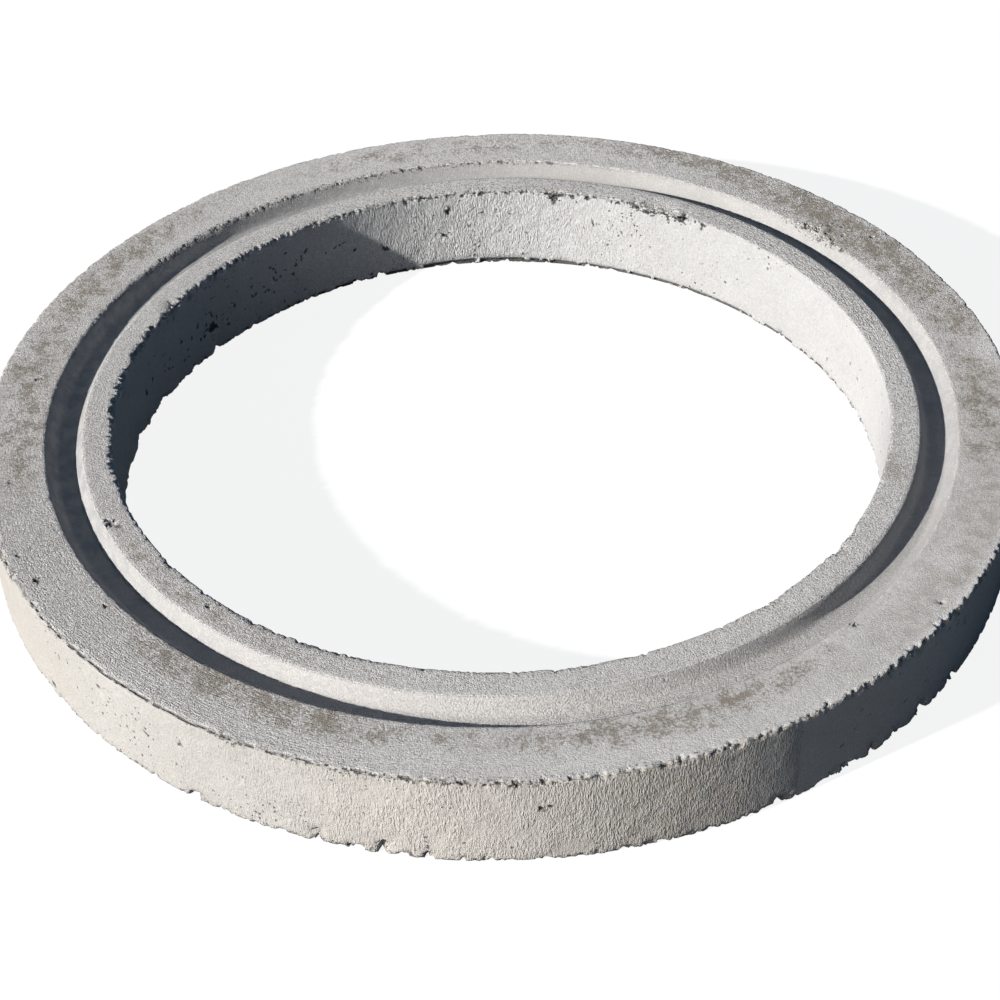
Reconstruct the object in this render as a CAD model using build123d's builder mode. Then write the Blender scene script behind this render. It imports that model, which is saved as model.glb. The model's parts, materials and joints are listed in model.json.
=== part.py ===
import os
from build123d import *

# Manhole adjustment ring, one precast concrete casting, in mm, lying on its underside
# The clear opening and the wall set the plan; the height is what it lifts the cover by
bore_diameter = 625.0
wall = 105.0
height = 80.0

# Tapered groove round the top face, outward from the bore: flat land, inner side, floor, outer side
inner_land = 25.0
inner_side_run = 6.0
groove_floor = 15.0
outer_side_run = 7.0
groove_depth = 13.0

# Edges as they leave the mould
arris = 2.0
lip_radius = 1.5
floor_radius = 2.5

bore_radius = bore_diameter / 2
outer_radius = bore_radius + wall
inner_lip = bore_radius + inner_land
floor_start = inner_lip + inner_side_run
floor_end = floor_start + groove_floor
outer_lip = floor_end + outer_side_run
floor_level = height - groove_depth

with BuildPart() as ring:
    # Half section through the wall, turned about the upright axis
    with BuildSketch(Plane.XZ) as section:
        with BuildLine():
            Polyline(
                (bore_radius, 0),
                (outer_radius, 0),
                (outer_radius, height),
                (outer_lip, height),
                (floor_end, floor_level),
                (floor_start, floor_level),
                (inner_lip, height),
                (bore_radius, height),
                close=True,
            )
        make_face()
        bore_corners = section.vertices().group_by(Axis.X)[0]
        outer_corners = section.vertices().group_by(Axis.X)[-1]
        chamfer(bore_corners + outer_corners, length=arris)
        floor_corners = section.vertices().filter_by_position(Axis.Y, floor_level - 0.1, floor_level + 0.1)
        fillet(floor_corners, radius=floor_radius)
        groove_points = section.vertices().filter_by_position(Axis.X, inner_lip - 0.1, outer_lip + 0.1)
        fillet(groove_points.group_by(Axis.Y)[-1], radius=lip_radius)
    revolve(axis=Axis.Z)

ring.part.label = "adjustment_ring"
os.makedirs("parts", exist_ok=True)
export_step(ring.part, "parts/adjustment_ring.step")
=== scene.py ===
import json
import math
import random

import bmesh
import bpy
from mathutils import Matrix, Vector, kdtree, noise


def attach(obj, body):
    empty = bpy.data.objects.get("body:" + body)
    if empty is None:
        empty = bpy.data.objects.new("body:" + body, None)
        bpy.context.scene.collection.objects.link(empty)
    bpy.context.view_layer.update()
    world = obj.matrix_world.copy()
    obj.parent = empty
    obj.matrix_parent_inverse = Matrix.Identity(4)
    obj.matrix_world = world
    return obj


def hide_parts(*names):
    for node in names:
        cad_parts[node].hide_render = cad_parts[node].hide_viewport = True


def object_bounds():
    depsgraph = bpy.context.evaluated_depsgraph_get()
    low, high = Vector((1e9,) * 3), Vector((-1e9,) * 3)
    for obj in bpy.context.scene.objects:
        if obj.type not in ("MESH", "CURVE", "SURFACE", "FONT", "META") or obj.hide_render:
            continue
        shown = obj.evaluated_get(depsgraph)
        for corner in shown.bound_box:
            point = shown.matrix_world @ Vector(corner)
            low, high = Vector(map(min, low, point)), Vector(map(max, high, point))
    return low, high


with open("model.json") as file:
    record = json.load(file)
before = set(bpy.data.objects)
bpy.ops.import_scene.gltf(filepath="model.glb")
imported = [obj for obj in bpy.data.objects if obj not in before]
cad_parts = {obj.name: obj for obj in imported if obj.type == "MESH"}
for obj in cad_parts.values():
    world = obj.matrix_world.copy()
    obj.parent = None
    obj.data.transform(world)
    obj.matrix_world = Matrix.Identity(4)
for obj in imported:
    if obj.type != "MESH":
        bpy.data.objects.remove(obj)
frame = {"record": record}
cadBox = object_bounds()

# The ring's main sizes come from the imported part, in metres
mounts = {m["name"]: m for m in frame["record"]["mounts"]}
boreRadius = mounts["access_bore"]["dims"]["r_mm"] / 1000
floorLevel = mounts["groove_floor"]["pos_m"][2]
outerRadius = cadBox[1].x
ringHeight = cadBox[1].z

ringForm = {
    "innerLand": 0.025,  # flat next to the opening
    "innerSideRun": 0.006,  # groove sides, measured flat
    "grooveFloor": 0.015,
    "outerSideRun": 0.007,
    "arris": 0.0016,  # rounding of the four edges before they crumble
    "lipRadius": 0.0015,
    "floorRadius": 0.0025,
    "sectors": 20,
    "sectorSteps": 25,
    "edgeRow": 0.0011,  # row spacing at an edge, growing away from it
    "rowGrowth": 0.3,
    "widestRow": 0.01,
    "undersideRow": 0.05,
    "undersideEdge": 0.004,  # band of the underside that keeps the fine rows
    "rowSlack": 1.4,  # a row is halved when it is this much too long
    "weld": 1e-5,
    "grooveSlack": 0.001,
    "landNormal": 0.95,  # a face this level counts as land
}
hair = 1e-6  # less than this counts as level

innerLip = boreRadius + ringForm["innerLand"]
floorStart = innerLip + ringForm["innerSideRun"]
floorEnd = floorStart + ringForm["grooveFloor"]
outerLip = floorEnd + ringForm["outerSideRun"]


# Bearings are degrees round the ring from +X, so 270 faces the camera
def near(bearing, centre, spread):
    gap = abs((bearing - centre + 180) % 360 - 180)
    return math.exp(-((gap / spread) ** 2))


def ramp(value, low, high):
    share = min(max((value - low) / (high - low), 0), 1)
    return share * share * (3 - 2 * share)


# What is usual all round and what is added in places: bearing, spread, how much
def alongRing(trait, bearing):
    added = sum(more * near(bearing, centre, spread) for centre, spread, more in trait["more"])
    return trait["usual"] + added


# Each edge: its place in the section and the way in from it
halfway = math.sqrt(0.5)
ringEdges = {
    "outerTop": {"place": (outerRadius, ringHeight), "inward": (-halfway, -halfway)},
    "boreTop": {"place": (boreRadius, ringHeight), "inward": (halfway, -halfway)},
    "boreSpall": {"place": (boreRadius, ringHeight), "inward": (0.3, -0.954)},  # a flat break
    "boreFringe": {"place": (boreRadius, ringHeight), "inward": (0.88, -0.475)},  # steeper breaks
    "boreFret": {"place": (boreRadius, ringHeight), "inward": (0.45, -0.893)},  # low crumbs
    "outerFringe": {"place": (outerRadius, ringHeight), "inward": (-0.88, -0.475)},
    "outerBottom": {"place": (outerRadius, 0), "inward": (-halfway, halfway)},
    "boreBottom": {"place": (boreRadius, 0), "inward": (halfway, halfway)},
    "outerLip": {"place": (outerLip, ringHeight), "inward": (0.52, -0.854)},
    "innerLip": {"place": (innerLip, ringHeight), "inward": (-0.55, -0.835)},
}

# How far each edge has crumbled all round, how unevenly, and where more: bearing, spread, depth
edgeWear = {
    "outerTop": {
        "usual": 0.001,
        "rough": 0.0022,
        "more": [
            (276, 20, 0.0012),
            (316, 20, 0.001),
            (205.5, 0.4, 0.002),
            (207.1, 0.4, 0.0016),
            (208.8, 0.5, 0.002),
            (218.6, 1.2, 0.0012),
            (243, 1, 0.0014),
            (230, 20, -0.0005),
        ],
    },
    "outerFringe": {"usual": -0.02, "rough": 0.0038, "jags": 0.6, "more": [(318, 60, 0.0225)]},
    "boreTop": {
        "usual": 0.0009,
        "rough": 0.0026,
        "more": [
            (62, 5, 0.003),
            (57.2, 1.2, 0.0035),
            (80, 1.5, 0.003),
            (98, 20, 0.0008),
            (165, 45, 0.0008),
            (211.7, 0.9, 0.0012),
            (217, 1.6, 0.001),
            (215, 30, -0.0007),
            (307.5, 2.5, 0.0014),
            (321.5, 1.6, 0.003),
            (326, 1.6, 0.003),
            (15, 30, -0.0005),
        ],
    },
    "boreSpall": {"usual": -0.02, "rough": 0.002, "more": [(153, 11, 0.0232), (62, 7, 0.0242)]},
    "boreFringe": {"usual": -0.02, "rough": 0.0054, "jags": 0.4, "more": [(168, 150, 0.0225)]},
    "boreFret": {"usual": -0.02, "rough": 0.0034, "jags": 0.4, "more": [(240, 100, 0.0213)]},
    "outerBottom": {
        "usual": 0.0012,
        "rough": 0.0042,
        "more": [
            (237.8, 0.6, 0.0025),
            (251.3, 0.45, 0.004),
            (255.3, 1, 0.0045),
            (257.9, 0.4, 0.0058),
            (260.2, 0.35, 0.003),
            (262.2, 0.45, 0.006),
            (265.3, 0.4, 0.005),
            (297, 1.2, 0.0034),
            (304.8, 1.4, 0.004),
            (308.4, 0.5, 0.0055),
            (312.3, 0.8, 0.0045),
            (316.2, 0.9, 0.0055),
            (322.2, 0.9, 0.0045),
        ],
    },
    "boreBottom": {
        "usual": 0.0011,
        "rough": 0.0028,
        "more": [
            (168, 3, 0.004),
            (160, 1.6, 0.004),
            (150.5, 0.7, 0.003),
            (143.9, 0.7, 0.004),
            (115.3, 0.6, 0.0035),
            (110.7, 0.6, 0.003),
            (74.1, 0.6, 0.0035),
            (35.5, 0.6, 0.003),
            (14, 3, 0.0015),
            (36, 24, -0.0007),
        ],
    },
    "outerLip": {"usual": 0.0005, "rough": 0.0013, "more": [(122, 36, 0.0011), (39, 4, 0.002)]},
    "innerLip": {"usual": 0.0003, "rough": 0.0007, "more": [(318, 20, 0.0006)]},
}

crumbForm = {
    "reach": 0.016,  # how far from an edge the wear can be felt
    "jagSize": 0.012,
    "crumbSize": 0.0032,
    "crumbShare": 0.6,
    "pitSize": 0.004,
    "pitFrom": 0.15,
    "pitShare": 1.5,
    "leastRough": 0.3,
    "roughWear": 0.003,  # wear that adds the whole roughness once more
    "fullCut": 0.002,
    "edgeShadeWidth": 0.002,
    "edgeShadeGrowth": 1.3,
    "edgeShadeWear": (0.0003, 0.0016),  # an edge gets painted shade from the first wear, and most from the second
    "grainDepth": 0.0007,
}

# Each noise is read at its own place, so that no two agree
noisePlaces = {
    "pit": Vector((4, 9, 2)),
    "grain": Vector((5, 2, 8)),
    "crack": Vector((3, 7, 1)),
    "foot": Vector((6, 1, 4)),
}

# Extra cuts round the ring beside an edge, and how far from it they go
edgeCuts = {
    "outerTop": (4, 0.0055),
    "boreTop": (4, 0.0055),
    "outerLip": (2, 0.0035),
    "outerBottom": (3, 0.005),
    "boreBottom": (3, 0.005),
}

# Holes and breaks big enough to see, each dented and darkened with painted shade: bearing, radius, height,
# reach, depth
pockMarks = [
    (210.8, 0.402, 0.080, 0.003, 0.0014),
    (206.3, 0.4045, 0.080, 0.0026, 0.0016),
    (193.6, 0.395, 0.080, 0.0026, 0.0014),
    (219, 0.3735, 0.080, 0.0028, 0.0014),
    (205.7, 0.331, 0.080, 0.004, 0.002),
    (207, 0.327, 0.080, 0.003, 0.0016),
    (228, 0.322, 0.080, 0.0024, 0.0013),
    (312.1, 0.3712, 0.080, 0.0022, 0.0012),
    (311.7, 0.3675, 0.080, 0.0018, 0.001),
    (320.8, 0.4042, 0.080, 0.0018, 0.001),
    (174, 0.385, 0.080, 0.0028, 0.0015),
    (40.7, 0.3686, 0.080, 0.003, 0.0022),
    (39.2, 0.3729, 0.080, 0.0032, 0.0022),
    (57.2, 0.3135, 0.0755, 0.0036, 0.0028),
    (57.8, 0.3132, 0.0765, 0.003, 0.0022),
    (74.2, 0.313, 0.0768, 0.003, 0.002),
    (80, 0.313, 0.074, 0.0035, 0.0024),
    (53.1, 0.313, 0.0768, 0.0024, 0.0016),
    (260.7, outerRadius, 0.0782, 0.0016, 0.0013),
    (262.5, outerRadius, 0.0782, 0.0016, 0.0013),
    (264.3, outerRadius, 0.0784, 0.0017, 0.0014),
    (265.7, outerRadius, 0.0788, 0.002, 0.0015),
    (267.7, outerRadius, 0.078, 0.0014, 0.0012),
    (270.2, outerRadius, 0.0762, 0.0017, 0.0013),
    (270.7, outerRadius, 0.0775, 0.0022, 0.0016),
    (273, 0.4163, 0.0798, 0.0022, 0.0016),
    (275.6, 0.416, 0.08, 0.0022, 0.0015),
    (273, outerRadius, 0.0532, 0.003, 0.002),
    (273.7, outerRadius, 0.0548, 0.0018, 0.0012),
    (276.7, outerRadius, 0.0536, 0.0014, 0.001),
    (226, outerRadius, 0.061, 0.0018, 0.0013),
    (236.8, outerRadius, 0.052, 0.002, 0.0014),
    (232.5, outerRadius, 0.044, 0.0022, 0.0015),
    (216, outerRadius, 0.009, 0.0028, 0.0018),
    (98.1, boreRadius, 0.0607, 0.0026, 0.002),
    (99, boreRadius, 0.0359, 0.0022, 0.0015),
    (109, boreRadius, 0.031, 0.0024, 0.0018),
    (144.6, boreRadius, 0.029, 0.0055, 0.003),
]

# Loose clusters of small ones: bearing, spread, radius, spread, height, spread, how many, reach
pockClusters = [
    (37.5, 4.5, 0.376, 0.009, 0.08, 0, 18, 0.0022),
    (62, 4.5, 0.3132, 0.0006, 0.0735, 0.004, 12, 0.0015),
    (74, 7, 0.3128, 0, 0.0775, 0.0012, 9, 0.0019),
    (97, 9, 0.3128, 0, 0.0775, 0.0012, 12, 0.0018),
    (68, 8, boreRadius, 0, 0.045, 0.011, 10, 0.0009),
    (94, 16, outerLip, 0.0008, 0.0795, 0, 22, 0.0014),
    (122, 22, outerLip, 0.0008, 0.0795, 0, 24, 0.0015),
    (128, 16, boreRadius, 0, 0.036, 0.022, 44, 0.0011),
    (150, 14, boreRadius, 0, 0.03, 0.018, 20, 0.0011),
]

# Slits in the broken rim of the opening, darkened with painted shade: bearing and height at each end, reach
rimSlits = [
    (66.6, 0.0772, 63.6, 0.0738, 0.0012),
    (63.4, 0.0758, 60.2, 0.0726, 0.0011),
    (61.6, 0.0776, 58.4, 0.0748, 0.0011),
    (65.6, 0.0745, 62.8, 0.0712, 0.0009),
]

pockForm = {
    "seed": 4,
    "slitSteps": 6,
    "slitSink": 0.0004,  # the slits lie this far inside the wall
    "slitSizes": (0.8, 1.2),
    "slitDepth": 0.8,  # share of the reach
    "clusterSizes": (0.7, 1.25),
    "clusterDepth": 0.6,
    "row": 0.001,  # mesh spacing round a pock
    "rowSlack": 1.5,
    "margin": 0.4,
    "edgeNoise": 0.003,
    "edgeShare": 0.9,
    "shadeReach": 1.2,
    "shadeBlend": 0.3,
    "wallBlend": 0.5,
}


def scatterPocks():
    draw = random.Random(pockForm["seed"])
    for first, high, last, low, reach in rimSlits:
        for step in range(pockForm["slitSteps"] + 1):
            share = step / pockForm["slitSteps"]
            size = reach * draw.uniform(*pockForm["slitSizes"])
            bearing = first + share * (last - first)
            place = (bearing, boreRadius + pockForm["slitSink"], high + share * (low - high))
            pockMarks.append((*place, size, pockForm["slitDepth"] * size))
    for bearing, turn, r, out, z, rise, many, reach in pockClusters:
        for _ in range(many):
            size = reach * draw.uniform(*pockForm["clusterSizes"])
            place = (draw.gauss(bearing, turn / 2), draw.gauss(r, out), draw.gauss(z, rise / 2))
            pockMarks.append((*place, size, pockForm["clusterDepth"] * size))


scatterPocks()
pockTree = kdtree.KDTree(len(pockMarks))
for number, (bearing, r, z, *_) in enumerate(pockMarks):
    turn = math.radians(bearing)
    pockTree.insert((r * math.cos(turn), r * math.sin(turn), z), number)
pockTree.balance()
print("pocks placed:", len(pockMarks))

# Brown weathering on the top: bearing, its spread, radius, its spread, strength
stainPatches = [
    (249, 13, 0.377, 0.013, 1.0),
    (233, 10, 0.375, 0.013, 1.0),
    (285, 14, 0.380, 0.014, 1.0),
    (306, 10, 0.376, 0.012, 0.2),
    (354, 9, 0.388, 0.016, 0.8),
    (20, 16, 0.396, 0.018, 0.8),
    (36, 9, 0.39, 0.02, 1.0),
    (50, 7, 0.396, 0.014, 1.0),
    (62, 8, 0.402, 0.012, 0.9),
    (74, 8, 0.404, 0.012, 0.5),
    (43, 5, 0.406, 0.01, 0.6),
    (57, 5, 0.409, 0.01, 0.6),
    (67, 5, 0.41, 0.008, 0.5),
    (7, 2.2, 0.408, 0.009, -1.5),
    (147, 16, 0.398, 0.013, 0.8),
    (100, 18, 0.394, 0.014, 0.6),
    (182, 9, 0.386, 0.016, 0.6),
    (172, 24, 0.388, 0.03, 0.35),
    (225, 22, 0.326, 0.008, 0.5),
]

# Pale bloom on the top, given the same way; the narrow bands on the outer edge are partly painted highlight
# on the broken rim
palePatches = [
    (264, 28, 0.4, 0.015, 0.45),
    (92, 40, 0.394, 0.035, 0.95),
    (88, 40, 0.325, 0.014, 0.9),
    (328, 8, 0.389, 0.009, 0.42),
    (316, 11, 0.374, 0.009, 0.48),
    (300, 20, 0.402, 0.012, 0.15),
    (7, 2.2, 0.408, 0.009, 1.0),
    (25, 45, 0.325, 0.014, 0.75),
    (0, 50, 0.414, 0.004, 0.6),
    (60, 25, 0.415, 0.003, 0.6),
    (66, 14, 0.4, 0.02, 0.4),
    (318, 22, 0.4145, 0.004, 0.8),
    (280, 50, 0.325, 0.012, 0.35),
]

# Tan film of dirt over the top, given the same way
filmPatches = [
    (330, 26, 0.396, 0.03, 0.5),
    (7, 2.2, 0.408, 0.009, -0.8),
    (4, 16, 0.39, 0.03, 0.2),
    (341.5, 3.5, 0.3245, 0.012, 0.8),
    (34, 24, 0.398, 0.03, 0.26),
    (205, 16, 0.395, 0.03, 0.18),
    (212, 24, 0.326, 0.012, 0.22),
    (130, 30, 0.4, 0.02, 0.15),
    (172, 26, 0.388, 0.04, 0.22),
]


def patchShare(patches, bearing, r):
    share = 0
    for centre, turn, middle, width, strength in patches:
        share += strength * near(bearing, centre, turn) * math.exp(-(((r - middle) / width) ** 2))
    return min(share, 1)


def rowLimit(place):
    band = ringForm["undersideEdge"]
    if place.z < hair and boreRadius + band < place.x < outerRadius - band:
        return ringForm["undersideRow"]
    gaps = [math.hypot(place.x - e["place"][0], place.z - e["place"][1]) for e in ringEdges.values()]
    return min(ringForm["edgeRow"] + ringForm["rowGrowth"] * min(gaps), ringForm["widestRow"])


def buildSection(bm):
    corners = [
        (boreRadius, 0),
        (outerRadius, 0),
        (outerRadius, ringHeight),
        (outerLip, ringHeight),
        (floorEnd, floorLevel),
        (floorStart, floorLevel),
        (innerLip, ringHeight),
        (boreRadius, ringHeight),
    ]
    points = [bm.verts.new((r, 0, z)) for r, z in corners]
    bm.faces.new(points)
    rounding = {
        "arris": points[:3] + points[7:],
        "floorRadius": points[4:6],
        "lipRadius": [points[3], points[6]],
    }
    for size, group in rounding.items():
        bmesh.ops.bevel(
            bm,
            geom=group,
            offset=ringForm[size],
            offset_type="OFFSET",
            segments=2,
            profile=0.5,
            affect="VERTICES",
            material=-1,
        )
    bmesh.ops.delete(bm, geom=bm.faces[:], context="FACES_ONLY")
    # halve the rows until each is short enough for its distance from an edge
    while True:
        long = []
        for edge in bm.edges:
            middle = (edge.verts[0].co + edge.verts[1].co) / 2
            if edge.calc_length() > ringForm["rowSlack"] * rowLimit(middle):
                long.append(edge)
        if not long:
            break
        bmesh.ops.subdivide_edges(bm, edges=long, cuts=1)
    return len(bm.edges)


def refineEdges(bm):
    for name, (cuts, reach) in edgeCuts.items():
        edgeR, edgeZ = ringEdges[name]["place"]
        finer = []
        for edge in bm.edges:
            first, second = edge.verts
            r = first.co.xy.length
            goesRound = abs(first.co.z - second.co.z) + abs(r - second.co.xy.length) < hair
            if goesRound and math.hypot(r - edgeR, first.co.z - edgeZ) < reach:
                finer.append(edge)
        bmesh.ops.subdivide_edges(bm, edges=finer, cuts=cuts, use_single_edge=True)


def crumble(r, z, bearing, co):
    cut = 0
    edged = 0
    for name, edge in ringEdges.items():
        gapR = r - edge["place"][0]
        gapZ = z - edge["place"][1]
        if max(abs(gapR), abs(gapZ)) > crumbForm["reach"]:
            continue
        wear = edgeWear[name]
        reach = alongRing(wear, bearing)
        if reach <= 0:
            continue
        inR, inZ = edge["inward"]
        depth = gapR * inR + gapZ * inZ
        jag = noise.fractal(co / crumbForm["jagSize"], 0.7, 2.1, 3)
        crumb = noise.noise(co / crumbForm["crumbSize"])
        pit = max(noise.noise(co / crumbForm["pitSize"] + noisePlaces["pit"]) - crumbForm["pitFrom"], 0)
        uneven = wear.get("jags", 1) * jag + crumbForm["crumbShare"] * crumb + crumbForm["pitShare"] * pit
        back = reach + wear["rough"] * (crumbForm["leastRough"] + reach / crumbForm["roughWear"]) * uneven
        if depth < back:
            r += inR * (back - depth)
            z += inZ * (back - depth)
            cut = max(cut, (back - depth) / crumbForm["fullCut"])
        # painted shade along a worn edge, wider where it is more worn
        width = crumbForm["edgeShadeWidth"] + crumbForm["edgeShadeGrowth"] * reach
        close = math.exp(-((math.hypot(gapR, gapZ) / width) ** 2))
        edged = max(edged, ramp(reach, *crumbForm["edgeShadeWear"]) * close)
    return r, z, min(cut, 1), edged


# How strong each finish is all round, and where more: bearing, spread, strength
ringFinish = {
    "boreDrag": {"usual": 0.35, "more": [(102, 24, 0.8)]},
    "wallDrag": {"usual": 0.25, "more": [(291, 11, 0.5)]},
    # the struck top is coarsest on the left and smoothest at the front right
    "landGrit": {"usual": 0.5, "more": [(215, 40, 0.45), (325, 30, -0.1), (110, 60, 0.2), (45, 40, 0.4)]},
    "innerLandGrit": {"usual": 0.75, "more": [(20, 50, 0.25), (85, 50, 0.5)]},
    "landBrush": {"usual": 0.1, "more": [(231, 28, 0.65)]},
    "innerLandBrush": {"usual": 0.1, "more": [(229, 32, 0.3), (36, 34, 1)]},
    # the groove is sandy at the front and the back left, and smooth elsewhere
    "grooveGrit": {"usual": 0.2, "more": [(290, 36, 0.55), (115, 28, 0.35)]},
    "boreGrit": {"usual": 0.35, "more": [(95, 32, 0.45)]},
    # air holes gather on the shaded side of the opening and the front left of the outside
    "boreHoles": {"usual": 0.2, "more": [(142, 26, 0.8), (90, 18, 0.35), (48, 20, 0.3)]},
    "wallHoles": {"usual": 0.3, "more": [(232, 18, 0.4)]},
    # painted light on the lit front of the groove, the back and right of the opening, and the front of the
    # outside
    "groovePaintedLight": {"usual": 0, "more": [(275, 38, 0.9)]},
    "borePaintedLight": {"usual": 0, "more": [(92, 28, 1), (5, 18, 0.4)]},
    "wallPaintedLight": {"usual": 0, "more": [(266, 15, 0.85)]},
    # painted shade in the shaded groove, and on the outside wall at its sunlit left and shaded front right
    "groovePaintedShade": {"usual": 0, "more": [(176, 60, 0.5), (5, 40, 0.3)]},
    "wallPaintedShade": {"usual": 0, "more": [(206, 14, 0.25), (287, 14, 0.5)]},
    # some broken edges get no painted edge shade, and are painted pale instead, partly as painted highlight
    "boreBrightEdge": {"usual": 0, "more": [(180, 46, 0.85)]},
    "outerBrightEdgeRight": {"usual": 0, "more": [(320, 32, 0.95)]},
    "outerBrightEdgeBack": {"usual": 0, "more": [(40, 45, 0.6)]},
}


def finishAt(name, bearing):
    return alongRing(ringFinish[name], bearing)


# Past the mould's joint the outside came out smooth
mouldDrag = {
    "joint": 298.2,
    "wrinkles": 0.75,  # added over this span and after it
    "wrinkleSpan": (222, 258),
    "smooth": 0.15,
    "smoothGain": 0.1,
    "gainSpan": (330, 360),
}


def wallDrag(bearing):
    if bearing > mouldDrag["joint"]:
        return mouldDrag["smooth"] + mouldDrag["smoothGain"] * ramp(bearing, *mouldDrag["gainSpan"])
    return finishAt("wallDrag", bearing) + mouldDrag["wrinkles"] * ramp(bearing, *mouldDrag["wrinkleSpan"])


# A ragged crack just inside the outer edge, where the paste has lifted, darkened with painted shade
rimCrack = {
    "place": 0.0026,
    "width": 0.0011,
    "depth": 0.0013,
    "most": 232,
    "spread": 20,
    "least": 0.02,
    "band": 0.012,
    "waver": 0.0012,
    "waverSize": 0.012,
    "partSize": 0.009,
    "partGain": 0.55,
    "partSpan": (0.1, 0.5),
    "shade": 1.3,
}


def rimOpening(r, bearing, co):
    share = near(bearing, rimCrack["most"], rimCrack["spread"])
    if share < rimCrack["least"] or outerRadius - r > rimCrack["band"]:
        return 0
    waver = rimCrack["waver"] * noise.noise(co / rimCrack["waverSize"])
    level = noise.fractal(co / rimCrack["partSize"] + noisePlaces["crack"], 0.5, 2.0, 3)
    parted = ramp(level + rimCrack["partGain"] * share, *rimCrack["partSpan"])
    gap = (outerRadius - r - rimCrack["place"] - waver) / rimCrack["width"]
    return parted * math.exp(-gap * gap)


# A recess along the foot of the opening, at the back, darkened with painted shade
footForm = {
    "share": {"usual": 0, "more": [(72, 52, 1), (90, 13, 1)]},
    "width": {"usual": 0.0016, "more": [(90, 14, 0.0024)]},
    "rise": 0.0015,
    "depth": 0.004,
    "band": (0.004, 0.012),  # how far in from the wall and up from the floor
    "partSize": 0.011,
    "partGain": 0.5,
    "partSpan": (0.15, 0.45),
}


def footRecessShade(bearing, co):
    level = noise.fractal(co / footForm["partSize"] + noisePlaces["foot"], 0.5, 2.0, 3)
    share = alongRing(footForm["share"], bearing)
    parted = ramp(level + footForm["partGain"] * share, *footForm["partSpan"])
    width = alongRing(footForm["width"], bearing)
    return parted * math.exp(-((max(co.z - footForm["rise"], 0) / width) ** 2))


def refinePocks(bm):
    while True:
        long = []
        for edge in bm.edges:
            length = edge.calc_length()
            if length < pockForm["rowSlack"] * pockForm["row"]:
                continue
            middle = (edge.verts[0].co + edge.verts[1].co) / 2
            _, number, gap = pockTree.find(middle)
            if gap < pockMarks[number][3] + pockForm["margin"] * length:
                long.append(edge)
        if not long:
            break
        bmesh.ops.subdivide_edges(bm, edges=long, cuts=1, use_grid_fill=True)


# How much painted shade a pock gives a point, and how far it dents it
def pockShare(co):
    _, number, gap = pockTree.find(co)
    reach, depth = pockMarks[number][3:]
    if gap > 2 * reach:
        return 0, 0
    ragged = noise.fractal(co / pockForm["edgeNoise"], 0.6, 2.0, 2)
    edge = reach * pockForm["edgeShare"] * (1 + ragged)
    shade = ramp(pockForm["shadeReach"] * edge - gap, 0, pockForm["shadeBlend"] * reach)
    return shade, depth * ramp(edge - gap, 0, pockForm["wallBlend"] * reach)


# Slight unevenness of every surface: how deep, and the size of its lumps
surfaceRelief = {
    "swellDepth": 0.0004,
    "swellSize": 0.11,
    "wallDepth": 0.0003,
    "wallSize": (0.005, 0.005, 0.018),
    "landDepth": 0.0002,
    "landSize": 0.008,
    "fromFloor": 0.01,  # the underside stays flat, and the relief grows up to here
    "grit": 0.5,  # where nothing else is said
    "facing": 0.8,  # how squarely a point faces out or up to count as wall or land
    "landRise": 0.006,  # land lies this far above the groove's floor
    "facetPit": 0.4,
    "edgePaleAndHighlight": 0.5,
}


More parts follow.
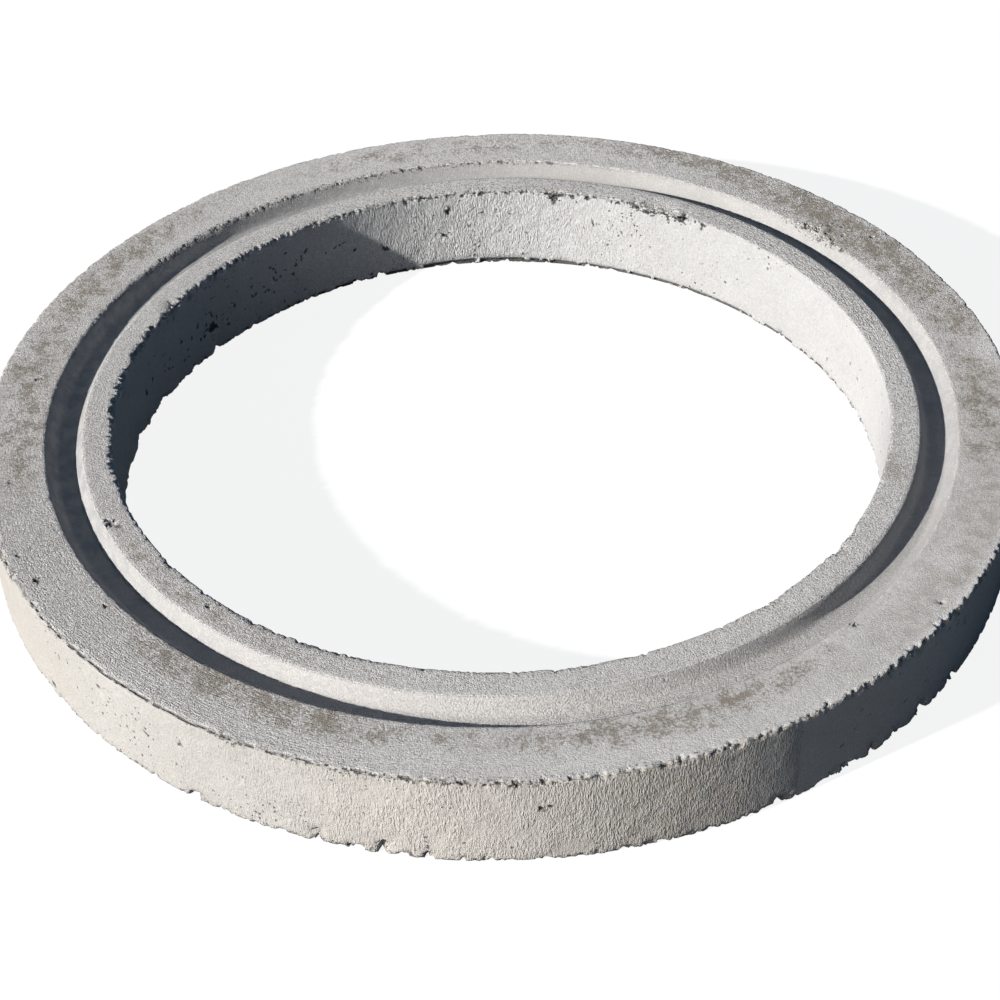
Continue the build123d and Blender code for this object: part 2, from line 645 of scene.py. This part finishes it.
def sculptRing(bm):
    names = ("crumbled", "stained", "paled", "dragged", "brushed")
    names += ("gritty", "pitShade", "edged", "holed", "filmedAndShaded")
    layers = {name: bm.verts.layers.float.new(name) for name in names}
    bm.normal_update()
    for v in bm.verts:
        co = v.co.copy()
        r = math.hypot(co.x, co.y)
        z = co.z
        out = Vector((co.x / r, co.y / r, 0))
        bearing = math.degrees(math.atan2(co.y, co.x)) % 360
        facing = v.normal.dot(out)
        upward = v.normal.z
        r, z, cut, edged = crumble(r, z, bearing, co)
        inGroove = innerLip < r < outerLip
        onLand = upward > surfaceRelief["facing"] and z > floorLevel + surfaceRelief["landRise"]
        onWall = abs(facing) > surfaceRelief["facing"] and not inGroove
        # pocks dent the surface and are darkened with painted shade
        pitShade, dent = pockShare(co)
        dent += surfaceRelief["swellDepth"] * (1 + noise.noise(co / surfaceRelief["swellSize"]))
        v[layers["gritty"]] = surfaceRelief["grit"]
        if inGroove:
            # in the groove, pale is painted light and film is painted shade
            v[layers["gritty"]] = finishAt("grooveGrit", bearing)
            v[layers["paled"]] = finishAt("groovePaintedLight", bearing)
            v[layers["filmedAndShaded"]] = finishAt("groovePaintedShade", bearing)
        if onWall:
            # on the walls, pale is painted light, and film on the outside is painted shade
            if facing < 0:
                v[layers["dragged"]] = finishAt("boreDrag", bearing)
                v[layers["holed"]] = finishAt("boreHoles", bearing)
                v[layers["paled"]] = finishAt("borePaintedLight", bearing)
                v[layers["gritty"]] = finishAt("boreGrit", bearing)
            else:
                v[layers["dragged"]] = wallDrag(bearing)
                v[layers["holed"]] = finishAt("wallHoles", bearing)
                v[layers["paled"]] = finishAt("wallPaintedLight", bearing)
                v[layers["filmedAndShaded"]] = finishAt("wallPaintedShade", bearing)
            lumpX, lumpY, lumpZ = surfaceRelief["wallSize"]
            lump = noise.noise(Vector((co.x / lumpX, co.y / lumpY, co.z / lumpZ)))
            dent += surfaceRelief["wallDepth"] * max(lump, 0)
        # the foot recess is dented and darkened with painted shade
        if r < boreRadius + footForm["band"][0] and z < footForm["band"][1]:
            foot = footRecessShade(bearing, co)
            pitShade = max(pitShade, foot)
            dent += footForm["depth"] * foot
        if onLand:
            land = "innerLand" if r < floorStart else "land"
            v[layers["brushed"]] = finishAt(land + "Brush", bearing)
            v[layers["gritty"]] = finishAt(land + "Grit", bearing)
            v[layers["stained"]] = patchShare(stainPatches, bearing, r)
            v[layers["paled"]] = patchShare(palePatches, bearing, r)
            v[layers["filmedAndShaded"]] = patchShare(filmPatches, bearing, r)
            # the rim crack is dented and darkened with painted shade
            crack = rimOpening(r, bearing, co)
            pitShade = max(pitShade, rimCrack["shade"] * crack)
            lump = noise.noise(co / surfaceRelief["landSize"])
            dent += surfaceRelief["landDepth"] * max(lump, 0) + rimCrack["depth"] * crack
        grain = noise.noise(co / crumbForm["crumbSize"] + noisePlaces["grain"])
        dent += crumbForm["grainDepth"] * cut * max(grain, 0)
        r -= facing * dent
        z -= upward * dent * ramp(z, 0, surfaceRelief["fromFloor"])
        r = min(r, outerRadius)
        z = min(max(z, 0), ringHeight)
        v.co = Vector((out.x * r, out.y * r, z))
        v[layers["crumbled"]] = cut
        # broken edges get painted shade, except where they are painted pale, partly as painted highlight
        brightEdge = 0
        if r > outerLip:
            brightEdge = max(finishAt("outerBrightEdgeRight", bearing), finishAt("outerBrightEdgeBack", bearing))
        elif r < innerLip:
            brightEdge = finishAt("boreBrightEdge", bearing)
        v[layers["edged"]] = edged * (1 - brightEdge)
        v[layers["paled"]] = max(v[layers["paled"]], surfaceRelief["edgePaleAndHighlight"] * brightEdge * edged)
        v[layers["pitShade"]] = pitShade
    # pits keep their facets
    for face in bm.faces:
        face.smooth = max(v[layers["pitShade"]] for v in face.verts) < surfaceRelief["facetPit"]


def addGroup(name, inputs, outputs):
    group = bpy.data.node_groups.new(name, "ShaderNodeTree")
    for label, kind, value in inputs:
        socket = group.interface.new_socket(label, in_out="INPUT", socket_type=kind)
        if value is not None:
            socket.default_value = value
    for label, kind in outputs:
        group.interface.new_socket(label, in_out="OUTPUT", socket_type=kind)
    start = group.nodes.new("NodeGroupInput")
    end = group.nodes.new("NodeGroupOutput")
    return group, start, end


def mathNode(tree, operation, first, second=None, third=None):
    node = tree.nodes.new("ShaderNodeMath")
    node.operation = operation
    for socket, value in zip(node.inputs, (first, second, third)):
        if value is None:
            continue
        if isinstance(value, (int, float)):
            socket.default_value = value
        else:
            tree.links.new(value, socket)
    return node.outputs[0]


def rampNode(tree, value, low, high, fromValue=0.0, toValue=1.0):
    node = tree.nodes.new("ShaderNodeMapRange")
    node.interpolation_type = "SMOOTHSTEP"
    tree.links.new(value, node.inputs["Value"])
    node.inputs["From Min"].default_value = low
    node.inputs["From Max"].default_value = high
    node.inputs["To Min"].default_value = fromValue
    node.inputs["To Max"].default_value = toValue
    return node.outputs["Result"]


def noiseNode(tree, vector, scale, detail=3.0, roughness=0.55):
    node = tree.nodes.new("ShaderNodeTexNoise")
    tree.links.new(vector, node.inputs["Vector"])
    node.inputs["Scale"].default_value = scale
    node.inputs["Detail"].default_value = detail
    node.inputs["Roughness"].default_value = roughness
    return node.outputs["Fac"]


def stretchNode(tree, vector, scale):
    node = tree.nodes.new("ShaderNodeVectorMath")
    node.operation = "MULTIPLY"
    tree.links.new(vector, node.inputs[0])
    node.inputs[1].default_value = scale
    return node.outputs[0]


def mixColour(tree, factor, first, second):
    node = tree.nodes.new("ShaderNodeMix")
    node.data_type = "RGBA"
    for socket, value in ((node.inputs[0], factor), (node.inputs[6], first), (node.inputs[7], second)):
        if isinstance(value, (int, float, tuple)):
            socket.default_value = value
        else:
            tree.links.new(value, socket)
    return node.outputs[2]


# Sand grains: each its own tone, standing out of the paste
grainForm = {"grains": 850.0, "finePaste": 820.0, "coarsePaste": 240.0, "coarseShare": 0.5, "standing": -0.8}


def makeGrainGroup():
    group, start, end = addGroup(
        "sandGrain",
        [("Vector", "NodeSocketVector", None), ("Grains", "NodeSocketFloat", grainForm["grains"])],
        [("Tone", "NodeSocketFloat"), ("Height", "NodeSocketFloat")],
    )
    grains = group.nodes.new("ShaderNodeTexVoronoi")
    grains.feature = "F1"
    group.links.new(start.outputs["Vector"], grains.inputs["Vector"])
    group.links.new(start.outputs["Grains"], grains.inputs["Scale"])
    parts = group.nodes.new("ShaderNodeSeparateColor")
    group.links.new(grains.outputs["Color"], parts.inputs[0])
    fine = noiseNode(group, start.outputs["Vector"], grainForm["finePaste"], 2.0, 0.6)
    coarse = noiseNode(group, start.outputs["Vector"], grainForm["coarsePaste"], 4.0, 0.7)
    paste = mathNode(group, "MULTIPLY_ADD", coarse, grainForm["coarseShare"], fine)
    tone = mathNode(group, "MULTIPLY_ADD", parts.outputs[0], 0.5, mathNode(group, "SUBTRACT", paste, 0.5))
    standing = mathNode(group, "MULTIPLY", parts.outputs[1], grainForm["standing"])
    dome = mathNode(group, "MULTIPLY_ADD", grains.outputs["Distance"], standing, paste)
    group.links.new(tone, end.inputs["Tone"])
    group.links.new(dome, end.inputs["Height"])
    return group


# Short upright wrinkles where the mould was drawn off the fresh concrete, with painted shade in their
# hollows
dragForm = {
    "stretch": (1.0, 1.0, 0.3),
    "wide": 400.0,
    "thin": 680.0,
    "thinShare": 0.85,
    "patches": 34.0,
    "patchLevels": (0.3, 0.62, 0.35, 1.0),
    "lineLevels": (0.9, 0.7),
}


def makeDragGroup():
    group, start, end = addGroup(
        "mouldDrag",
        [("Vector", "NodeSocketVector", None), ("Amount", "NodeSocketFloat", 1.0)],
        [("Height", "NodeSocketFloat"), ("Line", "NodeSocketFloat")],
    )
    tall = stretchNode(group, start.outputs["Vector"], dragForm["stretch"])
    wide = noiseNode(group, tall, dragForm["wide"], 2.0, 0.55)
    thin = noiseNode(group, tall, dragForm["thin"], 1.0, 0.6)
    both = mathNode(group, "MULTIPLY_ADD", thin, dragForm["thinShare"], wide)
    patches = noiseNode(group, start.outputs["Vector"], dragForm["patches"], 3.0, 0.6)
    strength = rampNode(group, patches, *dragForm["patchLevels"])
    amount = mathNode(group, "MULTIPLY", start.outputs["Amount"], strength)
    group.links.new(mathNode(group, "MULTIPLY", both, amount), end.inputs["Height"])
    line = rampNode(group, both, *dragForm["lineLevels"])
    group.links.new(mathNode(group, "MULTIPLY", line, amount), end.inputs["Line"])
    return group


# Small holes left by air against the mould, in loose clusters, drawn as dots of painted shade with a dip in
# the bump
holeForm = {
    "cells": 240.0,
    "wobble": 380.0,
    "wobbleReach": (0.008, 0.008, 0.006),
    "clusters": 21.0,
    "clusterLevels": (0.42, 0.64),
    "smallest": 0.08,  # in cells
    "spread": 0.26,
    "rim": 0.1,
}


def makeHoleGroup():
    group, start, end = addGroup(
        "airHoles",
        [("Vector", "NodeSocketVector", None), ("Share", "NodeSocketFloat", 0.25)],
        [("Hole", "NodeSocketFloat")],
    )
    wobble = noiseNode(group, start.outputs["Vector"], holeForm["wobble"], 3.0, 0.6)
    offset = group.nodes.new("ShaderNodeVectorMath")
    offset.operation = "MULTIPLY_ADD"
    group.links.new(wobble, offset.inputs[0])
    offset.inputs[1].default_value = holeForm["wobbleReach"]
    group.links.new(start.outputs["Vector"], offset.inputs[2])
    cells = group.nodes.new("ShaderNodeTexVoronoi")
    cells.feature = "F1"
    cells.inputs["Scale"].default_value = holeForm["cells"]
    group.links.new(offset.outputs[0], cells.inputs["Vector"])
    parts = group.nodes.new("ShaderNodeSeparateColor")
    group.links.new(cells.outputs["Color"], parts.inputs[0])
    clusters = noiseNode(group, start.outputs["Vector"], holeForm["clusters"], 3.0, 0.7)
    gathered = rampNode(group, clusters, *holeForm["clusterLevels"])
    share = mathNode(group, "MULTIPLY", start.outputs["Share"], gathered)
    chosen = mathNode(group, "LESS_THAN", parts.outputs[0], share)
    size = mathNode(group, "MULTIPLY_ADD", parts.outputs[1], holeForm["spread"], holeForm["smallest"])
    inside = mathNode(group, "SUBTRACT", size, cells.outputs["Distance"])
    hole = mathNode(group, "MULTIPLY", rampNode(group, inside, 0.0, holeForm["rim"]), chosen)
    group.links.new(hole, end.inputs["Hole"])
    return group


# Marks that follow the ring round, left by striking off and brushing the top, with painted shade in their
# hollows
brushForm = {
    "lines": 880.0,
    "alongRing": 0.045,  # stretches them round the ring
    "darkLevels": (0.55, 0.4),
}


def makeBrushGroup():
    group, start, end = addGroup(
        "brushRound",
        [("Vector", "NodeSocketVector", None), ("Amount", "NodeSocketFloat", 1.0)],
        [("Height", "NodeSocketFloat"), ("Line", "NodeSocketFloat")],
    )
    flat = stretchNode(group, start.outputs["Vector"], (1.0, 1.0, 0.0))
    size = group.nodes.new("ShaderNodeVectorMath")
    size.operation = "LENGTH"
    group.links.new(flat, size.inputs[0])
    way = group.nodes.new("ShaderNodeVectorMath")
    way.operation = "NORMALIZE"
    group.links.new(flat, way.inputs[0])
    parts = group.nodes.new("ShaderNodeSeparateXYZ")
    group.links.new(way.outputs[0], parts.inputs[0])
    join = group.nodes.new("ShaderNodeCombineXYZ")
    for axis in (0, 1):
        along = mathNode(group, "MULTIPLY", parts.outputs[axis], brushForm["alongRing"])
        group.links.new(along, join.inputs[axis])
    group.links.new(size.outputs["Value"], join.inputs[2])
    lines = noiseNode(group, join.outputs[0], brushForm["lines"], 2.0, 0.65)
    group.links.new(mathNode(group, "MULTIPLY", lines, start.outputs["Amount"]), end.inputs["Height"])
    dark = rampNode(group, lines, *brushForm["darkLevels"])
    dark = mathNode(group, "MULTIPLY", dark, start.outputs["Amount"])
    group.links.new(dark, end.inputs["Line"])
    return group


# Uneven tone over the ring and brown weathering where the mesh says so
weatherForm = {
    "broad": 14.0,
    "toneLevels": (0.3, 0.7),
    "blotches": 380.0,
    "patches": 80.0,
    "patchShare": 0.6,
    "mottleLevels": (0.34, 0.66, 0.3, 1.7),
    "stainGain": 0.16,
    "stainLevels": (0.83, 1.02),
    "stainStart": (0.03, 0.35),
}


def makeWeatherGroup():
    group, start, end = addGroup(
        "weathering",
        [("Vector", "NodeSocketVector", None), ("Stained", "NodeSocketFloat", 0.0)],
        [("Tone", "NodeSocketFloat"), ("Stain", "NodeSocketFloat"), ("Mottle", "NodeSocketFloat")],
    )
    broad = noiseNode(group, start.outputs["Vector"], weatherForm["broad"], 5.0, 0.65)
    blotch = noiseNode(group, start.outputs["Vector"], weatherForm["blotches"], 4.0, 0.8)
    patch = noiseNode(group, start.outputs["Vector"], weatherForm["patches"], 3.0, 0.6)
    level = mathNode(group, "MULTIPLY_ADD", patch, weatherForm["patchShare"], blotch)
    level = mathNode(group, "MULTIPLY_ADD", start.outputs["Stained"], weatherForm["stainGain"], level)
    spots = rampNode(group, level, *weatherForm["stainLevels"])
    group.links.new(rampNode(group, broad, *weatherForm["toneLevels"]), end.inputs["Tone"])
    group.links.new(rampNode(group, patch, *weatherForm["mottleLevels"]), end.inputs["Mottle"])
    spread = rampNode(group, start.outputs["Stained"], *weatherForm["stainStart"])
    group.links.new(mathNode(group, "MULTIPLY", spots, spread), end.inputs["Stain"])
    return group


# Painted shade in the gaps between the crumbs of a broken edge, thickest at the edge itself
breakForm = {"crumbs": 400.0, "edgeGain": 0.1, "gapLevels": (0.63, 0.72), "edgeStart": (0.04, 0.35)}


def makeBreakGroup():
    group, start, end = addGroup(
        "brokenEdge",
        [("Vector", "NodeSocketVector", None), ("Amount", "NodeSocketFloat", 0.0)],
        [("Gap", "NodeSocketFloat")],
    )
    crumbs = noiseNode(group, start.outputs["Vector"], breakForm["crumbs"], 2.0, 0.65)
    level = mathNode(group, "MULTIPLY_ADD", start.outputs["Amount"], breakForm["edgeGain"], crumbs)
    spread = rampNode(group, start.outputs["Amount"], *breakForm["edgeStart"])
    gap = mathNode(group, "MULTIPLY", rampNode(group, level, *breakForm["gapLevels"]), spread)
    group.links.new(gap, end.inputs["Gap"])
    return group


groups = {
    "grain": makeGrainGroup(),
    "drag": makeDragGroup(),
    "holes": makeHoleGroup(),
    "brush": makeBrushGroup(),
    "weather": makeWeatherGroup(),
    "broken": makeBreakGroup(),
}
print("node groups ready:", len(groups))

# In each look, hole is the colour of painted shade in holes, pits and gaps
concreteLooks = {
    "castWall": {
        "colour": (0.445, 0.418, 0.382, 1),
        "pale": (0.48, 0.453, 0.416, 1),
        "paleBloomAndLight": (0.69, 0.622, 0.548, 1),
        # film here is painted shade on the outside wall
        "filmAndShade": (0.43, 0.375, 0.312, 1),
        "dark": (0.25, 0.228, 0.2, 1),
        "hole": (0.13, 0.12, 0.11, 1),
        "holeShare": 0.8,
        "grainTone": 0.4,
        "dragBump": 0.85,
        "dragScale": 1.4,
        "dragShadeTone": 0.35,
        "brushBump": 0.0,
        "grainBump": 0.45,
    },
    "boreWall": {
        "colour": (0.44, 0.427, 0.41, 1),
        "pale": (0.47, 0.458, 0.442, 1),
        "paleBloomAndLight": (0.75, 0.722, 0.696, 1),
        "filmAndShade": (0.36, 0.325, 0.278, 1),
        "dark": (0.24, 0.23, 0.215, 1),
        "hole": (0.05, 0.048, 0.045, 1),
        "holeShare": 0.9,
        "grainTone": 0.55,
        "dragBump": 1.25,
        "dragScale": 1.5,
        "dragShadeTone": 0.4,
        "brushBump": 0.0,
        "grainBump": 0.45,
    },
    "brushedLand": {
        "colour": (0.575, 0.538, 0.504, 1),
        "pale": (0.635, 0.6, 0.568, 1),
        "paleBloomAndLight": (0.78, 0.74, 0.7, 1),
        "filmAndShade": (0.36, 0.325, 0.278, 1),
        "dark": (0.28, 0.264, 0.245, 1),
        "hole": (0.18, 0.168, 0.155, 1),
        "holeShare": 0.0,
        "grainTone": 0.85,
        "dragBump": 0.0,
        "dragScale": 1.0,
        "dragShadeTone": 0.0,
        "brushBump": 0.95,
        "grainBump": 0.65,
    },
    "smoothGroove": {
        "colour": (0.41, 0.389, 0.366, 1),
        "pale": (0.45, 0.428, 0.404, 1),
        "paleBloomAndLight": (0.69, 0.643, 0.604, 1),
        # film here is bluish painted shade in the groove
        "filmAndShade": (0.27, 0.275, 0.285, 1),
        "dark": (0.25, 0.236, 0.22, 1),
        "hole": (0.15, 0.14, 0.125, 1),
        "holeShare": 0.0,
        "grainTone": 0.75,
        "dragBump": 0.0,
        "dragScale": 1.0,
        "dragShadeTone": 0.0,
        "brushBump": 0.2,
        "grainBump": 0.85,
    },
}

# What all the looks share
concreteFinish = {
    "stain": (0.235, 0.198, 0.15, 1),
    "glint": (0.78, 0.76, 0.735, 1),
    "roughness": 0.92,
    "specular": 0.25,
    "paleBloomAndLightShare": 0.6,
    "speckLevels": (0.5, 0.2),
    "glintLevels": (0.6, 0.85),
    "pitLevels": (0.2, 0.75),
    "brushShadeTone": 0.3,
    "stainShare": 0.82,
    "edgeShadeShare": 0.2,
    "hollowShadeStrength": 0.86,
    "holeDepth": -1.4,
    "gapDepth": -1.2,
    "bumpDistance": 0.0012,
}


def placeGroup(tree, name):
    node = tree.nodes.new("ShaderNodeGroup")
    node.node_tree = groups[name]
    return node


def readAttribute(tree, name):
    node = tree.nodes.new("ShaderNodeAttribute")
    node.attribute_name = name
    return node.outputs["Fac"]


def makeConcrete(name):
    look = concreteLooks[name]
    material = bpy.data.materials.new(name)
    material.use_nodes = True
    tree = material.node_tree
    shader = tree.nodes["Principled BSDF"]
    shader.inputs["Roughness"].default_value = concreteFinish["roughness"]
    shader.inputs["Specular IOR Level"].default_value = concreteFinish["specular"]
    place = tree.nodes.new("ShaderNodeTexCoord").outputs["Object"]
    grain = placeGroup(tree, "grain")
    drag = placeGroup(tree, "drag")
    holes = placeGroup(tree, "holes")
    brush = placeGroup(tree, "brush")
    weather = placeGroup(tree, "weather")
    broken = placeGroup(tree, "broken")
    for node in (grain, holes, brush, weather, broken):
        tree.links.new(place, node.inputs["Vector"])
    tree.links.new(stretchNode(tree, place, [look["dragScale"]] * 3), drag.inputs["Vector"])
    tree.links.new(readAttribute(tree, "dragged"), drag.inputs["Amount"])
    tree.links.new(readAttribute(tree, "brushed"), brush.inputs["Amount"])
    tree.links.new(readAttribute(tree, "stained"), weather.inputs["Stained"])
    share = mathNode(tree, "MULTIPLY", readAttribute(tree, "holed"), look["holeShare"])
    tree.links.new(share, holes.inputs["Share"])
    edged = readAttribute(tree, "edged")
    tree.links.new(edged, broken.inputs["Amount"])
    crumbled = readAttribute(tree, "crumbled")
    gritty = readAttribute(tree, "gritty")

    colour = mixColour(tree, weather.outputs["Tone"], look["colour"], look["pale"])
    # pale bloom on the top, and painted light on the walls, the groove and bright broken edges
    paleBloomAndLight = mathNode(tree, "MULTIPLY", readAttribute(tree, "paled"), concreteFinish["paleBloomAndLightShare"])
    # film is dirt on the top, and painted shade on the outside wall and in the groove
    filmAndShade = mathNode(tree, "MULTIPLY", readAttribute(tree, "filmedAndShaded"), weather.outputs["Mottle"])
    colour = mixColour(tree, filmAndShade, colour, look["filmAndShade"])
    colour = mixColour(tree, paleBloomAndLight, colour, look["paleBloomAndLight"])
    # dark specks are grain tone and painted shade in pores; glints are pale grains and a painted highlight
    speck = rampNode(tree, grain.outputs["Tone"], *concreteFinish["speckLevels"], 0.0, look["grainTone"])
    colour = mixColour(tree, mathNode(tree, "MULTIPLY", speck, gritty), colour, look["dark"])
    glint = rampNode(tree, grain.outputs["Tone"], *concreteFinish["glintLevels"], 0.0, look["grainTone"])
    colour = mixColour(tree, mathNode(tree, "MULTIPLY", glint, gritty), colour, concreteFinish["glint"])
    # painted shade in the hollows of the mould wrinkles
    if look["dragBump"]:
        shade = mathNode(tree, "MULTIPLY", drag.outputs["Line"], look["dragShadeTone"])
        colour = mixColour(tree, shade, colour, look["dark"])
    # painted shade in the hollows of the brush marks
    if look["brushBump"]:
        shade = mathNode(tree, "MULTIPLY", brush.outputs["Line"], concreteFinish["brushShadeTone"])
        colour = mixColour(tree, shade, colour, look["dark"])
    stain = mathNode(tree, "MULTIPLY", weather.outputs["Stain"], concreteFinish["stainShare"])
    colour = mixColour(tree, stain, colour, concreteFinish["stain"])
    # painted shade along broken edges
    edgeShade = mathNode(tree, "MULTIPLY", edged, concreteFinish["edgeShadeShare"])
    colour = mixColour(tree, edgeShade, colour, look["dark"])
    # painted shade: air holes, pocks, slits, the rim crack, the foot recess and gaps between crumbs are
    # darkened toward the hole colour
    pitShade = rampNode(tree, readAttribute(tree, "pitShade"), *concreteFinish["pitLevels"])
    hollowShade = mathNode(tree, "MAXIMUM", holes.outputs["Hole"], pitShade)
    hollowShade = mathNode(tree, "MAXIMUM", hollowShade, broken.outputs["Gap"])
    hollowShade = mathNode(tree, "MULTIPLY", hollowShade, concreteFinish["hollowShadeStrength"])
    colour = mixColour(tree, hollowShade, colour, look["hole"])
    tree.links.new(colour, shader.inputs["Base Color"])

    rough = mathNode(tree, "MULTIPLY", mathNode(tree, "ADD", gritty, crumbled), look["grainBump"])
    height = mathNode(tree, "MULTIPLY", grain.outputs["Height"], rough)
    height = mathNode(tree, "MULTIPLY_ADD", drag.outputs["Height"], look["dragBump"], height)
    height = mathNode(tree, "MULTIPLY_ADD", brush.outputs["Height"], look["brushBump"], height)
    height = mathNode(tree, "MULTIPLY_ADD", holes.outputs["Hole"], concreteFinish["holeDepth"], height)
    height = mathNode(tree, "MULTIPLY_ADD", broken.outputs["Gap"], concreteFinish["gapDepth"], height)
    bump = tree.nodes.new("ShaderNodeBump")
    bump.inputs["Strength"].default_value = 1.0
    bump.inputs["Distance"].default_value = concreteFinish["bumpDistance"]
    tree.links.new(height, bump.inputs["Height"])
    tree.links.new(bump.outputs["Normal"], shader.inputs["Normal"])
    return material


def buildRing():
    bm = bmesh.new()
    rows = buildSection(bm)
    # one sector is spun from the section, then repeated round the axis
    sectorAngle = 2 * math.pi / ringForm["sectors"]
    turn = {"cent": (0, 0, 0), "axis": (0, 0, 1), "dvec": (0, 0, 0), "use_normal_flip": False}
    bmesh.ops.spin(
        bm,
        geom=bm.verts[:] + bm.edges[:],
        angle=sectorAngle,
        steps=ringForm["sectorSteps"],
        use_merge=False,
        use_duplicate=False,
        **turn,
    )
    refineEdges(bm)
    bmesh.ops.spin(
        bm,
        geom=bm.verts[:] + bm.edges[:] + bm.faces[:],
        angle=2 * math.pi - sectorAngle,
        steps=ringForm["sectors"] - 1,
        use_merge=False,
        use_duplicate=True,
        **turn,
    )
    bmesh.ops.remove_doubles(bm, verts=bm.verts[:], dist=ringForm["weld"])
    bmesh.ops.recalc_face_normals(bm, faces=bm.faces[:])
    lookNumber = {name: number for number, name in enumerate(concreteLooks)}
    for face in bm.faces:
        middle = face.calc_center_median()
        r = math.hypot(middle.x, middle.y)
        if innerLip < r < outerLip and middle.z > floorLevel - ringForm["grooveSlack"]:
            face.material_index = lookNumber["smoothGroove"]
        elif face.normal.z > ringForm["landNormal"]:
            face.material_index = lookNumber["brushedLand"]
        elif r < innerLip:
            face.material_index = lookNumber["boreWall"]
    print("ring section rows:", rows, "faces:", len(bm.faces))
    refinePocks(bm)
    sculptRing(bm)
    mesh = bpy.data.meshes.new("castRing")
    bm.to_mesh(mesh)
    bm.free()
    for name in concreteLooks:
        mesh.materials.append(makeConcrete(name))
    ring = bpy.data.objects.new("castRing", mesh)
    bpy.context.scene.collection.objects.link(ring)
    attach(ring, "root")
    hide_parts("adjustment_ring")
    print("ring built, triangles:", sum(len(p.vertices) - 2 for p in mesh.polygons))


buildRing()

floorForm = {
    "size": 14,
    "bounce": (0.1, 0.115, 0.135, 1),  # what the ring is lit by from below
    "pale": (0.6, 0.6, 0.6, 1),
    "shown": 1.16,
    "shadow": 0.24,  # share of the shaded floor that is seen
}


def buildFloor():
    bm = bmesh.new()
    bmesh.ops.create_grid(bm, x_segments=1, y_segments=1, size=floorForm["size"])
    mesh = bpy.data.meshes.new("paleFloor")
    bm.to_mesh(mesh)
    bm.free()
    material = bpy.data.materials.new("paleFloor")
    material.use_nodes = True
    tree = material.node_tree
    ground = tree.nodes["Principled BSDF"]
    ground.inputs["Base Color"].default_value = floorForm["bounce"]
    ground.inputs["Roughness"].default_value = 1.0
    matte = tree.nodes.new("ShaderNodeBsdfDiffuse")
    matte.inputs["Color"].default_value = floorForm["pale"]
    glow = tree.nodes.new("ShaderNodeEmission")
    glow.inputs["Strength"].default_value = floorForm["shown"]
    shown = tree.nodes.new("ShaderNodeMixShader")
    shown.inputs[0].default_value = floorForm["shadow"]
    tree.links.new(glow.outputs[0], shown.inputs[1])
    tree.links.new(matte.outputs[0], shown.inputs[2])
    path = tree.nodes.new("ShaderNodeLightPath")
    pick = tree.nodes.new("ShaderNodeMixShader")
    tree.links.new(path.outputs["Is Camera Ray"], pick.inputs[0])
    tree.links.new(ground.outputs[0], pick.inputs[1])
    tree.links.new(shown.outputs[0], pick.inputs[2])
    tree.links.new(pick.outputs[0], tree.nodes["Material Output"].inputs["Surface"])
    mesh.materials.append(material)
    floor = bpy.data.objects.new("paleFloor", mesh)
    bpy.context.scene.collection.objects.link(floor)


buildFloor()

# Key light low from the left, a softer one beside it, and a weak fill from behind on the right
lampForm = {
    "key": {"bearing": 208, "height": 24.5, "strength": 6.1, "spread": 1.2, "colour": (1.0, 0.993, 0.98)},
    "front": {"bearing": 238, "height": 16, "strength": 0.36, "spread": 20, "colour": (1.0, 0.99, 0.98)},
    "fill": {"bearing": 40, "height": 40, "strength": 0.04, "spread": 60, "colour": (0.8, 0.9, 1.0)},
    "sky": {"strength": 0.11, "colour": (0.25, 0.54, 1.0, 1), "shown": (1.0, 1.0, 1.0, 1)},
}


def addLamp(name):
    form = lampForm[name]
    lamp = bpy.data.lights.new(name, "SUN")
    lamp.energy = form["strength"]
    lamp.angle = math.radians(form["spread"])
    lamp.color = form["colour"]
    holder = bpy.data.objects.new(name, lamp)
    bearing = math.radians(form["bearing"])
    rise = math.radians(form["height"])
    flat = math.cos(rise)
    source = Vector((math.cos(bearing) * flat, math.sin(bearing) * flat, math.sin(rise)))
    holder.rotation_mode = "QUATERNION"
    holder.rotation_quaternion = (-source).to_track_quat("-Z", "Y")
    bpy.context.scene.collection.objects.link(holder)


def lightScene():
    for name in ("key", "front", "fill"):
        addLamp(name)
    world = bpy.data.worlds.new("studio")
    world.use_nodes = True
    tree = world.node_tree
    back = tree.nodes["Background"]
    seen = tree.nodes.new("ShaderNodeLightPath").outputs["Is Camera Ray"]
    # the sky tints the shadows, and the camera sees it as plain white
    colour = mixColour(tree, seen, lampForm["sky"]["colour"], lampForm["sky"]["shown"])
    tree.links.new(colour, back.inputs["Color"])
    strength = tree.nodes.new("ShaderNodeMix")
    strength.inputs[2].default_value = lampForm["sky"]["strength"]
    strength.inputs[3].default_value = 1.0
    tree.links.new(seen, strength.inputs[0])
    tree.links.new(strength.outputs[0], back.inputs["Strength"])
    bpy.context.scene.world = world
    bpy.context.scene.view_settings.view_transform = "Standard"


lightScene()
print("lights and floor set")

cameraForm = {
    "place": (0, -1.3323, 1.1045),
    "pitch": 40.419,  # degrees below level
    "yaw": -0.097,
    "roll": -1.551,
    "lens": 74.37,
    "sensor": 36,
}


def addCamera():
    pitch = math.radians(cameraForm["pitch"])
    yaw = math.radians(cameraForm["yaw"])
    roll = math.radians(cameraForm["roll"])
    flat = math.cos(pitch)
    ahead = Vector((math.sin(yaw) * flat, math.cos(yaw) * flat, -math.sin(pitch)))
    right = ahead.cross(Vector((0, 0, 1))).normalized()
    up = right.cross(ahead)
    turn = Matrix((right, up, -ahead)).transposed() @ Matrix.Rotation(roll, 3, "Z")
    lens = bpy.data.cameras.new("photoCamera")
    lens.lens = cameraForm["lens"]
    lens.sensor_width = cameraForm["sensor"]
    camera = bpy.data.objects.new("photoCamera", lens)
    camera.matrix_world = Matrix.Translation(cameraForm["place"]) @ turn.to_4x4()
    bpy.context.scene.collection.objects.link(camera)
    bpy.context.scene.camera = camera


addCamera()
